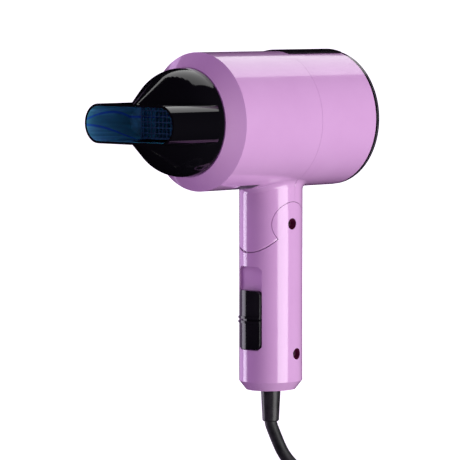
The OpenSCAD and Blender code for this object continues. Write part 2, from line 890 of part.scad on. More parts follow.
module handle_left_shell() {
    color("#d49cd8")
        difference() {
            union() {
                mirror([1, 0, 0]) intersection() {
                    grip_body();
                    right_half();
                }
                hinge_rod(boss_r, -ear_in - 1, -0.02);
                post(post_r, -grip_w / 2 + grip_wall - 0.4, -0.02);
            }
            hinge_rod(hinge_screw_r, -8, 1);
            post(hinge_screw_r, -8, 1);
            relief_hole();
        }
}

module handle_screw() {
    color("#a7aab0")
        difference() {
            union() {
                post(hole_r - 0.5, grip_w / 2 - hole_depth - 2.2, grip_w / 2 - hole_depth);
                post(hinge_screw_r, -8, grip_w / 2 - hole_depth - 2);
            }
            for (turn = [0, 90])
                translate([grip_w / 2 - hole_depth - 0.4, grip_screw_y, grip_screw_z]) rotate([turn, 0, 0])
                    cube([1.6, 3.6, 0.7], center = true);
        }
}

module slider_face(inset, corner) {
    half = slider_w / 2 - inset;
    low = slider_low + inset;
    top = slider_low + slider_len - inset;
    for (x = [-half + corner, half - corner], z = [low + corner, top - corner])
        translate([x, z]) circle(r = corner, $fn = 32);
    translate([-half, low + corner]) square([2 * half, top - low - 2 * corner]);
    translate([-half + corner, low]) square([2 * half - 2 * corner, top - low]);
}

// The slider's face follows the grip; two lips with a groove between them cross its middle.
module switch_slider() {
    groove_h = ridge_pitch - ridge_h;
    color("#100f12")
        union() {
            difference() {
                intersection() {
                    translate([0, track_floor - 0.1, 0]) rotate([90, 0, 0])
                        linear_extrude(grip_d) slider_face(0, 3);
                    union() {
                        grip_prism(slider_low, slider_low + slider_len, -slider_crown);
                        grip_prism(stem_mid - ridge_reach, stem_mid + ridge_reach, -ridge_crown);
                    }
                }
                difference() {
                    translate([-slider_w, -grip_d, stem_mid - groove_h / 2])
                        cube([2 * slider_w, grip_d, groove_h]);
                    grip_prism(stem_mid - groove_h, stem_mid + groove_h);
                }
            }
            translate([-stem_w / 2, track_floor - 1, stem_mid - stem_h / 2]) cube([stem_w, 4.2, stem_h]);
        }
}

module switch_actuator() {
    color("#e6e2d8")
        translate([-1.5, track_floor + 3.2, stem_mid - 3]) cube([3, 5, 6]);
}

module switch_body() {
    low = stem_mid - 5;
    color("#25242a")
        difference() {
            translate([-switch_size[0] / 2, switch_front, low]) cube(switch_size);
            translate([-1.8, switch_front - 1, low + 1.6]) cube([3.6, 6, slider_travel + 6.8]);
        }
}

module switch_terminals() {
    color("#c9a24a")
        for (k = [0 : 3])
            translate([-3, switch_front + switch_size[1], stem_mid - 2 + 7 * k]) cube([6, 3.4, 0.8]);
}

// A straight wire from one point down to another.
module wire(x, y, from, to, r = 0.75) {
    translate([x, y, from]) cylinder(r = r, h = to - from, $fn = 16);
}

module barrel_wires() {
    color("#b23a3a") {
        for (x = [-0.9, 0.9]) wire(x, 7.1, hinge_z - 7, barrel_z - duct_r - 1);
        wire(0, 8.8, hinge_z - 7, barrel_z - duct_r - 1, 0.6);
    }
}

module handle_wires() {
    color("#2b4fa0") {
        for (x = [-2.4, 2.4]) wire(x, 13.2, stem_mid + 8, hinge_z - 14);
        for (x = [-2.2, 2.2]) wire(x, -2, grip_bottom + 20, stem_mid - 6);
    }
}

module clamp_screw_rods(r, from, to) {
    for (side = [-1, 1])
        translate([side * clamp_screw_x, 0, clamp_z + from]) cylinder(r = r, h = to - from);
}

module cord_clamp() {
    color("#2a282d")
        difference() {
            translate([-clamp_size[0] / 2, -clamp_size[1] / 2, clamp_z]) cube(clamp_size);
            translate([0, 0, clamp_z - 1]) cylinder(r = clamp_bore, h = clamp_size[2] + 2);
            clamp_screw_rods(clamp_screw_r + 0.1, -1, clamp_size[2] + 1);
        }
}

module clamp_screws() {
    color("#b9bbc0") {
        clamp_screw_rods(clamp_screw_r, -ledge_t, clamp_size[2]);
        clamp_screw_rods(clamp_head[0], clamp_size[2], clamp_size[2] + clamp_head[1]);
    }
}

// Smooth tapered sleeve with a rounded end, and a flange that the grip's floor holds.
module strain_relief() {
    rounding = 0.6;
    flange_z = grip_bottom + grip_floor + 0.1;
    color("#1b191d")
        difference() {
            rotate_extrude() polygon([
                [0, flange_z + flange_t], [0, cord_exit], [relief_r[1] - rounding, cord_exit],
                [relief_r[1], cord_exit + rounding], [relief_r[0], grip_bottom - 0.1],
                [relief_neck_r - 0.05, grip_bottom - 0.1], [relief_neck_r - 0.05, flange_z],
                [relief_flange_r, flange_z], [relief_flange_r, flange_z + flange_t]
            ]);
            translate([0, 0, grip_bottom]) cylinder(r = 2.6, h = 20);
        }
}

function unit(v) = v / norm(v);

// A round tube swept along a route: one ring of points on each route point, closed at both ends.
// side is a direction that the route never runs along.
module swept_tube(route, r, sides, side) {
    last = len(route) - 1;
    function heading(i) = unit(route[min(i + 1, last)] - route[max(i - 1, 0)]);
    ring_points = [for (i = [0 : last], k = [0 : sides - 1])
        let (u = unit(cross(heading(i), side)), v = cross(heading(i), u), a = 360 * k / sides)
        route[i] + r * (cos(a) * u + sin(a) * v)];
    walls = [for (i = [0 : last - 1], k = [0 : sides - 1], half = [0, 1])
        let (n = (k + 1) % sides, a = i * sides, b = (i + 1) * sides)
        half == 0 ? [a + k, a + n, b + n] : [a + k, b + n, b + k]];
    caps = [[for (k = [sides - 1 : -1 : 0]) k], [for (k = [0 : sides - 1]) last * sides + k]];
    polyhedron(ring_points, concat(walls, caps));
}

module power_cord() {
    color("#1a1a1d") swept_tube(drop_route, cord_d / 2, cord_sides, [-0.743, 0.669, 0.12]);
}

module plug_lead() {
    color("#1a1a1d") swept_tube(lead_route, cord_d / 2, cord_sides, [0, 0, 1]);
}

module cord_coil() {
    color("#1e1e22")
        translate([coil_at[0], coil_at[1], coil_bottom])
            rotate_extrude() translate([coil_r[0], 0])
                square([coil_r[1] - coil_r[0], coil_top - coil_bottom]);
}

module cord_tie() {
    mid = (coil_r[0] + coil_r[1]) / 2;
    color("#121215")
        translate([coil_at[0] - mid, coil_at[1], coil_bottom + cord_d]) difference() {
            cube([coil_r[1] - coil_r[0] + 2 * tie_t + 0.6, tie_w, 2 * cord_d + 2 * tie_t], center = true);
            cube([coil_r[1] - coil_r[0] + 0.6, tie_w + 2, 2 * cord_d], center = true);
        }
}

// The plug: a rounded bar across the pins, then a cone down to the cord.
module plug_body() {
    round_r = plug_half[1];
    color("#18181b")
        translate(plug_end) rotate([0, -90, 0]) {
            difference() {
                translate([0, 0, plug_taper]) linear_extrude(plug_len - plug_taper) union() {
                    for (end = [-1, 1]) translate([0, end * (plug_half[0] - round_r)]) circle(r = round_r);
                    square([2 * round_r, 2 * (plug_half[0] - round_r)], center = true);
                }
                for (end = [-1, 1])
                    translate([0, end * (plug_half[0] + grip_dent - 1.6), (plug_len + plug_taper) / 2])
                        rotate([0, 90, 0]) cylinder(r = grip_dent, h = 4 * round_r, center = true);
            }
            cylinder(r1 = cord_d / 2 + 0.8, r2 = round_r - 0.5, h = plug_taper + eps);
        }
}

module plug_pins() {
    color("#c9ccd0")
        for (side = [-1, 1])
            translate(plug_end + [-plug_len, side * pin_pitch / 2, 0]) rotate([0, -90, 0]) {
                cylinder(r = pin_d / 2, h = pin_len - pin_d / 4);
                translate([0, 0, pin_len - pin_d / 4])
                    cylinder(r1 = pin_d / 2, r2 = pin_d / 4, h = pin_d / 4);
            }
}

front_barrel_shell();
rear_barrel_shell();
top_trim_strip();
rating_label();
intake_grille();
dust_screen();
knuckle_screws();
fan_duct();
fan_impeller();
motor_shaft();
motor_armature();
motor_can();
motor_magnets();
motor_end_cap();
motor_bearings();
rectifier_board();
heater_boards();
heating_coils();
mica_sleeve();
thermostat();
thermal_fuse();
barrel_wires();
outlet_ring();
outlet_grille();
nozzle_snap_ring();
concentrator_nozzle();
hinge_knuckle();
hinge_washers();
hinge_screw();
handle_left_shell();
handle_right_shell();
handle_screw();
switch_slider();
switch_actuator();
switch_body();
switch_terminals();
handle_wires();
cord_clamp();
clamp_screws();
strain_relief();
power_cord();
cord_coil();
cord_tie();
plug_lead();
plug_body();
plug_pins();
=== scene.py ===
"""Looks of a foldable hair dryer: camera, light, cord, detail pieces and materials around the CAD frame.

Everything is in metres in the frame of the CAD part: +Z up, the nozzle blows towards -Y, and the origin
is the centre of the hand grip.
"""

import json
import math

import bmesh
import bpy
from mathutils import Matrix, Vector


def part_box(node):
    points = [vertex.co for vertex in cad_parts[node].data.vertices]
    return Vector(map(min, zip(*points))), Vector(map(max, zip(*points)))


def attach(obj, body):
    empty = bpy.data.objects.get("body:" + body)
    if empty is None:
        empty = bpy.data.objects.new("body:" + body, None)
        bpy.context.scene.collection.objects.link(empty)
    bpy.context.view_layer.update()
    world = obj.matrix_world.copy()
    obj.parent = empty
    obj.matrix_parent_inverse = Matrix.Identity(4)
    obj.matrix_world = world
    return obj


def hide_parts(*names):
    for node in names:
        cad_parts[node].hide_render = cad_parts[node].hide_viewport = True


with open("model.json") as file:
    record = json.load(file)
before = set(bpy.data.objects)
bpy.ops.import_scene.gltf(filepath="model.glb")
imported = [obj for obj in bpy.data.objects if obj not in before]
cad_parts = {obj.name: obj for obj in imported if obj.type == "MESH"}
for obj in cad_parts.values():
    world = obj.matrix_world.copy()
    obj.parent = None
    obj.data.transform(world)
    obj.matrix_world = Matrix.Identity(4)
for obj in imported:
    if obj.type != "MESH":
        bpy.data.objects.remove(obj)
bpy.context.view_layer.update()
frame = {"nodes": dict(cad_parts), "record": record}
NODES = frame["nodes"]
MM = 0.001

# ---------------------------------------------------------------- places read from the frame


def middle(node):
    low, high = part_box(node)
    return Vector([(a + b) / 2 for a, b in zip(low, high)])


BARREL_Z = middle("intake_grille").z
BARREL_R = (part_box("rear_barrel_shell")[1][0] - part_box("rear_barrel_shell")[0][0]) / 2
SEAM_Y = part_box("rear_barrel_shell")[0][1]
FRONT_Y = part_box("front_barrel_shell")[0][1]
MOUTH_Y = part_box("concentrator_nozzle")[0][1]
GRIP_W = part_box("handle_right_shell")[1][0] * 2
GRIP_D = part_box("handle_right_shell")[1][1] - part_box("handle_right_shell")[0][1]
GRIP_ROUND = GRIP_W / 2
GRIP_SHIFT = (GRIP_D - GRIP_W) / 2
SURFACE_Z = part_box("cord_coil")[0][2] - 0.8 * MM        # what the coil lies on
COIL_AT = middle("cord_coil")
CORD_D = 7 * MM

# ---------------------------------------------------------------- camera

VIEW_AZIMUTH = math.radians(45.2)
VIEW_ELEVATION = math.radians(4.1)
VIEW_DISTANCE = 1.8347
VIEW_TARGET = Vector((-0.01617, -0.01629, 0.04654))
VIEW_LENS = 255.6


def add_camera():
    away = Vector((
        math.sin(VIEW_AZIMUTH) * math.cos(VIEW_ELEVATION),
        -math.cos(VIEW_AZIMUTH) * math.cos(VIEW_ELEVATION),
        math.sin(VIEW_ELEVATION),
    ))
    data = bpy.data.cameras.new("camera")
    data.lens = VIEW_LENS
    data.sensor_width = 36
    data.clip_end = 50
    camera = bpy.data.objects.new("camera", data)
    camera.location = VIEW_TARGET + VIEW_DISTANCE * away
    camera.rotation_euler = (-away).to_track_quat("-Z", "Y").to_euler()
    bpy.context.scene.collection.objects.link(camera)
    bpy.context.scene.camera = camera


add_camera()

# ---------------------------------------------------------------- cord


def new_object(name, data, body=None):
    obj = bpy.data.objects.new(name, data)
    bpy.context.scene.collection.objects.link(obj)
    if body:
        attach(obj, body)
    return obj


# Points of the cord in millimetres: from the strain relief to the coil, and from the coil to the plug.
DROP_ROUTE = [
    (0, 0, -61.4), (0, 0, -62.4), (0.6, 0.6, -65), (1.8, 1.9, -69.4), (3.3, 3.5, -75), (5.2, 5.4, -80.5),
    (8.3, 8.0, -85.6), (13.1, 10.9, -90.1), (19.2, 13.4, -94.2), (25.7, 14.9, -97.9),
    (32.4, 15.6, -100.8), (38.6, 15.5, -102.9), (44.3, 14.6, -104.2), (48.2, 13.7, -104.7),
]
LEAD_ROUTE = [
    (38.5, 15.5, -111.7), (48.6, 16.6, -111.7), (59.0, 16.2, -111.7), (69.0, 11.5, -111.7),
    (77.0, 3.5, -111.7), (83.5, -6.0, -111.7), (88.0, -17.0, -111.7), (89.6, -28.5, -111.7),
    (88.6, -40.0, -111.7), (85.0, -51.5, -111.7), (79.0, -62.0, -111.7), (71.0, -71.0, -111.7),
    (61.5, -78.5, -111.7), (50.0, -83.5, -111.7), (37.5, -86.0, -111.6), (25.0, -86.5, -110.6),
    (12.0, -86.5, -108.0), (0, -86.5, -105.2), (-10, -86.5, -104.0), (-20, -86.5, -103.8),
]
TRACKS = (47, 40, 33, 33, 40, 47)       # radius of each turn, in millimetres
TOP_LAYER = 3                           # the first turns lie on top, the others under them
LAYER_LIFT = 3.5                        # a layer's height above or below the coil's middle, in millimetres
COIL_START = 73.6                       # direction of the coil's first point from its centre, in degrees
COIL_LAST = 348                         # how far the last turn runs before the lead leaves it
COIL_STEP = 12                          # degrees between the points
STEP_ZONE = 64                          # the last degrees of a turn, where it steps to the next track
TOP_STEP = (0.3, 0.9)                   # the part of that zone used by a turn on top, from 0 to 1,
LOW_STEP = (0.0, 0.6)                   # by a turn below,
DOWN_STEP = (0.2, 0.8)                  # and by the step from one layer to the other


def ease(zone, window):
    """0 before the window, 1 after it, and smooth between."""
    start, end = window
    t = min(max((zone - start) / (end - start), 0), 1)
    return t * t * (3 - 2 * t)


def coil_points():
    """Turns beside and on each other: three on top from the outside in, then three below going out."""
    top_z, low_z = COIL_AT.z / MM + LAYER_LIFT, COIL_AT.z / MM - LAYER_LIFT
    points = []
    for swept in range(COIL_STEP, 360 * (len(TRACKS) - 1) + COIL_LAST, COIL_STEP):
        turn, along = divmod(swept, 360)
        zone = (along - (360 - STEP_ZONE)) / STEP_ZONE
        on_top = turn < TOP_LAYER
        radius, height = TRACKS[turn], top_z if on_top else low_z
        if turn + 1 < len(TRACKS) and zone > 0:
            if turn == TOP_LAYER - 1:
                height += (low_z - top_z) * ease(zone, DOWN_STEP)
            else:
                radius += (TRACKS[turn + 1] - radius) * ease(zone, TOP_STEP if on_top else LOW_STEP)
        angle = math.radians(COIL_START - swept)
        points.append((
            COIL_AT.x / MM + radius * math.cos(angle),
            COIL_AT.y / MM + radius * math.sin(angle),
            height,
        ))
    return points


def nurbs_tube(name, points, radius, body):
    data = bpy.data.curves.new(name, "CURVE")
    data.dimensions = "3D"
    data.bevel_depth = 1        # each point's own radius gives the size, and so the curve's box is right
    data.bevel_resolution = 5
    data.resolution_u = 5
    data.use_fill_caps = True
    spline = data.splines.new("NURBS")
    spline.points.add(len(points) - 1)
    for target, point in zip(spline.points, points):
        target.co = (point[0] * MM, point[1] * MM, point[2] * MM, 1)
        target.radius = radius
    spline.order_u = 4
    spline.use_endpoint_u = True
    return new_object(name, data, body)


# ---------------------------------------------------------------- detail pieces


def mesh_object(name, vertices, faces, body, smooth=True):
    mesh = bpy.data.meshes.new(name)
    mesh.from_pydata([tuple(v) for v in vertices], [], faces)
    cleaner = bmesh.new()
    cleaner.from_mesh(mesh)
    bmesh.ops.recalc_face_normals(cleaner, faces=cleaner.faces)
    cleaner.to_mesh(mesh)
    cleaner.free()
    mesh.polygons.foreach_set("use_smooth", [smooth] * len(mesh.polygons))
    return new_object(name, mesh, body)


def loft(rings, closed=False):
    """Faces that join equal closed rings of points in a row, with end caps unless the row is closed."""
    count, size = len(rings), len(rings[0])
    vertices = [point for ring in rings for point in ring]
    faces = []
    for i in range(count if closed else count - 1):
        for k in range(size):
            a, b = i * size + k, i * size + (k + 1) % size
            c, d = (i + 1) % count * size + (k + 1) % size, (i + 1) % count * size + k
            faces.append((a, b, c, d))
    if not closed:
        faces.append(tuple(reversed(range(size))))
        faces.append(tuple((count - 1) * size + k for k in range(size)))
    return vertices, faces


FILLET = 3.4 * MM           # size of the rounding between neck and barrel
FILLET_SINK = 0.03 * MM     # its two edges end this far inside the plastic
FILLET_BACK = 0.5 * MM      # its back lies this far inside the plastic
FILLET_STEPS = 8


def fillet_ring(side, place):
    """Section of the rounding at one angle of the neck's outline, on its rear (side 1) or front (-1) half."""
    angle = math.radians(place)
    normal = Vector((math.cos(angle), math.sin(angle)))
    start = Vector((GRIP_ROUND * normal.x, GRIP_ROUND * normal.y + side * GRIP_SHIFT))

    def belly(out):
        reach = start.x + out * normal.x
        return BARREL_Z - math.sqrt(BARREL_R ** 2 - reach ** 2)

    low = Vector((-FILLET_SINK, belly(0) - FILLET))
    corner = Vector((-FILLET_SINK, belly(0)))
    top = Vector((FILLET, belly(FILLET) + FILLET_SINK))
    section = []
    for k in range(FILLET_STEPS + 1):
        t = k / FILLET_STEPS
        section.append(low.lerp(corner, t).lerp(corner.lerp(top, t), t))
    back = FILLET * 0.4
    section.append(Vector((back, belly(back) + FILLET_BACK)))
    section.append(Vector((-FILLET_BACK, belly(0))))
    return [Vector((start.x + p.x * normal.x, start.y + p.x * normal.y, p.y)) for p in section]


def seam_place(gap):
    """Angle on the neck's rear half outline at a place that lies the gap behind the shells' seam."""
    return math.degrees(math.asin((SEAM_Y + gap - GRIP_SHIFT) / GRIP_ROUND))


def add_fillets():
    """The rounding between neck and barrel, parted at the shells' seam."""
    step = 6
    near_flat = 0.1
    seam_gap = 0.06 * MM
    edge = seam_place(-seam_gap)
    front = [fillet_ring(1, a) for a in (edge, near_flat, 0)]
    front += [fillet_ring(-1, -a) for a in range(0, 181, step)]
    front += [fillet_ring(1, 180 - a) for a in (0, near_flat, edge)]
    mesh_object("neck_fillet_front", *loft(front), "barrel")
    edge = seam_place(seam_gap)
    rear = [fillet_ring(1, a) for a in [edge, *range(step, 180 - step + 1, step), 180 - edge]]
    mesh_object("neck_fillet_rear", *loft(rear), "barrel")


def box_vertices(low, high):
    corners = [(x, y, z) for z in (low[2], high[2]) for y in (low[1], high[1]) for x in (low[0], high[0])]
    faces = [(0, 2, 3, 1), (4, 5, 7, 6), (0, 1, 5, 4), (2, 6, 7, 3), (0, 4, 6, 2), (1, 3, 7, 5)]
    return corners, faces


def add_nozzle_grid():
    """Fine guard grid across the throat of the nozzle, behind its flat blade."""
    half_w, half_h, pitch = 26.5, 8.9, 3.1
    bar, rim, half_deep = 0.28, 0.5, 0.3        # half widths of a bar and of the rim, and half their depth
    ahead = 0.2                                 # how far the level bars stand before the upright ones
    plane = FRONT_Y - 9 * MM
    vertices, faces = [], []

    def bar_box(x0, x1, z0, z1, shift=0.0):
        corners, sides = box_vertices(
            (x0 * MM, plane - (half_deep + shift) * MM, BARREL_Z + z0 * MM),
            (x1 * MM, plane + (half_deep - shift) * MM, BARREL_Z + z1 * MM),
        )
        faces.extend(tuple(len(vertices) + i for i in side) for side in sides)
        vertices.extend(corners)

    for k in range(-8, 9):
        bar_box(k * pitch - bar, k * pitch + bar, -half_h, half_h)
    for k in range(-2, 3):
        bar_box(-half_w, half_w, k * pitch - bar, k * pitch + bar, ahead)
    for side in (-1, 1):
        bar_box(side * half_w - rim, side * half_w + rim, -half_h - rim, half_h + rim)
        bar_box(-half_w, half_w, side * half_h - rim, side * half_h + rim)
    mesh_object("nozzle_guard_grid", vertices, faces, "nozzle", smooth=False)


def add_tie():
    """Hook-and-loop strap around the coil, thinner along its edges, with its tail laid on top."""
    width, thick, edge = 4.4 * MM, 0.42 * MM, 0.5 * MM      # width is half the strap's, and so is thick
    plump = 1.25                                            # its middle is thicker than its edges by this
    corner, corner_steps = 3 * MM, 6
    tail_steps, tail_pitch, tail_lift = 8, 1.7 * MM, 0.5 * MM
    low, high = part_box("cord_tie")
    mid_y = (low[1] + high[1]) / 2
    half_w = (high[0] - low[0]) / 2 - 0.9 * MM
    half_h = (high[2] - low[2]) / 2 - 0.45 * MM
    centre = Vector(((low[0] + high[0]) / 2, (low[2] + high[2]) / 2))
    path = []
    for turn, (sx, sz) in enumerate([(1, 1), (-1, 1), (-1, -1), (1, -1)]):
        for k in range(corner_steps + 1):
            angle = math.radians(90 * (turn + k / corner_steps))
            spot = Vector((sx * (half_w - corner), sz * (half_h - corner)))
            path.append(centre + spot + corner * Vector((math.cos(angle), math.sin(angle))))

    def strap_ring(point, out, half):
        under = [(-half, -1), (-half + edge, -plump), (half - edge, -plump), (half, -1)]
        section = under + [(y, -s) for y, s in reversed(under)]
        return [
            Vector((point.x + out.x * s * thick, mid_y + y, point.y + out.y * s * thick)) for y, s in section
        ]

    rings = []
    for i, point in enumerate(path):
        tangent = (path[(i + 1) % len(path)] - path[i - 1]).normalized()
        rings.append(strap_ring(point, Vector((tangent.y, -tangent.x)), width))
    strap = mesh_object("tie_strap_loop", *loft(rings, closed=True), "handle")
    tail_z = centre.y + half_h + 2.1 * thick
    tail = []
    for k in range(tail_steps + 1):
        x = centre.x + half_w - corner - k * tail_pitch
        lift = tail_lift * (k / tail_steps) ** 2
        taper = 0.98 if k < 7 else 1.1 - 0.04 * k       # the last two sections round off the tail's end
        tail.append(strap_ring(Vector((x, tail_z + lift)), Vector((0, 1)), width * taper))
    tail_piece = mesh_object("tie_strap_tail", *loft(tail), "handle")
    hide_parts("cord_tie")
    return strap, tail_piece


def lathe(name, centre, axis, profile, body, steps=48):
    """A closed solid of revolution from (distance along the axis, radius) pairs in millimetres."""
    axis = Vector(axis).normalized()
    side = axis.orthogonal().normalized()
    up = axis.cross(side)
    rings = []
    for along, radius in profile:
        rings.append([
            Vector(centre) + axis * along * MM
            + (side * math.cos(2 * math.pi * k / steps) + up * math.sin(2 * math.pi * k / steps)) * radius * MM
            for k in range(steps)
        ])
    return mesh_object(name, *loft(rings), body)


def add_plug_ribs():
    """Ribbed bend protection that sits on the plug's cone."""
    low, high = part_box("plug_body")
    start = Vector((high[0], (low[1] + high[1]) / 2, (low[2] + high[2]) / 2))
    ribs, first_rib, rib_pitch = 5, 1.5, 3.0
    cone_tip, cone_base, cone_len = 4.3, 11.0, 18
    rib_section = ((0, -0.4), (0.3, 0.75), (1.5, 1.1), (1.8, -0.1))     # along the cone, and out from it
    profile = [(0.6, 3.9)]
    for k in range(ribs):
        along = first_rib + rib_pitch * k
        cone = cone_tip + (cone_base - cone_tip) * along / cone_len
        profile += [(along + step, cone + out) for step, out in rib_section]
    profile += [(16.8, 10.4)]
    return lathe("plug_bend_ribs", start, (-1, 0, 0), profile, "handle")


add_fillets()
add_nozzle_grid()
tie_loop, tie_tail = add_tie()
plug_ribs = add_plug_ribs()

cord = nurbs_tube("mains_cord", DROP_ROUTE + coil_points() + LEAD_ROUTE, CORD_D / 2, "handle")
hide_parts("power_cord", "cord_coil", "plug_lead")

# ---------------------------------------------------------------- materials


class Shader:
    """A node material with a Principled shader and short calls for the nodes used here."""

    def __init__(self, name, **sockets):
        self.material = bpy.data.materials.new(name)
        self.material.use_nodes = True
        self.tree = self.material.node_tree
        self.shader = self.tree.nodes["Principled BSDF"]
        for key, value in sockets.items():
            self.shader.inputs[key.replace("_", " ")].default_value = value
        self.coords = self.tree.nodes.new("ShaderNodeTexCoord").outputs["Object"]
        self.height = None

    def add(self, kind, **values):
        node = self.tree.nodes.new(kind)
        for key, value in values.items():
            setattr(node, key, value)
        return node

    def link(self, source, target):
        self.tree.links.new(source, target)

    def scaled(self, scale):
        node = self.add("ShaderNodeMapping")
        node.inputs["Scale"].default_value = scale
        self.link(self.coords, node.inputs["Vector"])
        return node.outputs["Vector"]

    def noise(self, scale, detail=3, stretch=None, distortion=0.0):
        node = self.add("ShaderNodeTexNoise")
        node.inputs["Scale"].default_value = scale
        node.inputs["Detail"].default_value = detail
        node.inputs["Distortion"].default_value = distortion
        self.link(self.scaled(stretch) if stretch else self.coords, node.inputs["Vector"])
        return node.outputs["Fac"]

    def ramp(self, source, stops):
        node = self.add("ShaderNodeValToRGB")
        elements = node.color_ramp.elements
        while len(elements) < len(stops):
            elements.new(0.5)
        for element, (place, colour) in zip(elements, stops):
            element.position = place
            element.color = (*colour, 1)
        self.link(source, node.inputs["Fac"])
        return node.outputs["Color"]

    def span(self, source, low, high, out_low, out_high):
        node = self.add("ShaderNodeMapRange")
        for key, value in zip(("From Min", "From Max", "To Min", "To Max"), (low, high, out_low, out_high)):
            node.inputs[key].default_value = value
        self.link(source, node.inputs["Value"])
        return node.outputs["Result"]

    def math(self, operation, a, b=None):
        node = self.add("ShaderNodeMath", operation=operation)
        for value, socket in zip((a, b), node.inputs):
            if value is None:
                continue
            if isinstance(value, (int, float)):
                socket.default_value = value
            else:
                self.link(value, socket)
        return node.outputs["Value"]

    def axes(self):
        node = self.add("ShaderNodeSeparateXYZ")
        self.link(self.coords, node.inputs["Vector"])
        return [node.outputs[axis] for axis in "XYZ"]

    def distance(self, a, b):
        squares = self.math("ADD", self.math("MULTIPLY", a, a), self.math("MULTIPLY", b, b))
        return self.math("SQRT", squares)

    def mix(self, factor, a, b):
        node = self.add("ShaderNodeMix", data_type="RGBA")
        self.link(factor, node.inputs["Factor"])
        for value, socket in ((a, node.inputs[6]), (b, node.inputs[7])):
            if isinstance(value, tuple):
                socket.default_value = (*value, 1)
            else:
                self.link(value, socket)
        return node.outputs[2]

    def colour(self, source):
        self.link(source, self.shader.inputs["Base Color"])

    def roughness(self, source):
        self.link(source, self.shader.inputs["Roughness"])

    def bump(self, source, strength, distance):
        node = self.add("ShaderNodeBump")
        node.inputs["Strength"].default_value = strength
        node.inputs["Distance"].default_value = distance
        self.link(source, node.inputs["Height"])
        if self.height:
            self.link(self.height, node.inputs["Normal"])
        self.height = node.outputs["Normal"]
        self.link(self.height, self.shader.inputs["Normal"])


def pale(colour, amount):
    return tuple(c + (1 - c) * amount for c in colour)


def deep(colour, amount):
    return tuple(c * (1 - amount) for c in colour)


def moulded(name, colour, rough=0.16, coat=0.5, spread=0.05, peel=0.03, grain=0.0, specular=0.5):
    """Moulded plastic: faintly cloudy, with slow waves and hair scratches in the gloss, or a matt grain."""
    s = Shader(name, Roughness=rough, Coat_Weight=coat, Coat_Roughness=0.05, Specular_IOR_Level=specular)
    cloud = s.noise(38, 4)
    s.colour(s.ramp(cloud, [(0.3, deep(colour, spread)), (0.7, pale(colour, spread))]))
    wear = s.noise(420, 2, stretch=(1, 0.12, 1))
    s.roughness(s.span(wear, 0.35, 0.75, rough * 0.85, rough * 1.45))
    s.bump(s.noise(95, 2), peel, 0.0006)
    if grain:
        s.bump(s.noise(2600, 3), grain, 0.0002)
    return s


def metal(name, colour, rough=0.28, brushed=(1, 1, 1), scale=700):
    s = Shader(name, Metallic=1.0, Roughness=rough)
    lines = s.noise(scale, 3, stretch=brushed)
    s.colour(s.ramp(lines, [(0.3, deep(colour, 0.14)), (0.7, pale(colour, 0.1))]))
    s.roughness(s.span(lines, 0.3, 0.7, rough * 0.75, rough * 1.35))
    s.bump(lines, 0.12, 0.0001)
    return s


def sheet_material(name, dark, light, layers=900):
    s = Shader(name, Roughness=0.55)
    flake = s.noise(layers, 4, stretch=(1, 1, 0.3))
    s.colour(s.ramp(flake, [(0.25, dark), (0.75, light)]))
    s.bump(flake, 0.2, 0.0002)
    return s


PINK = (0.75, 0.45, 0.715)
BLACK = (0.004, 0.004, 0.005)


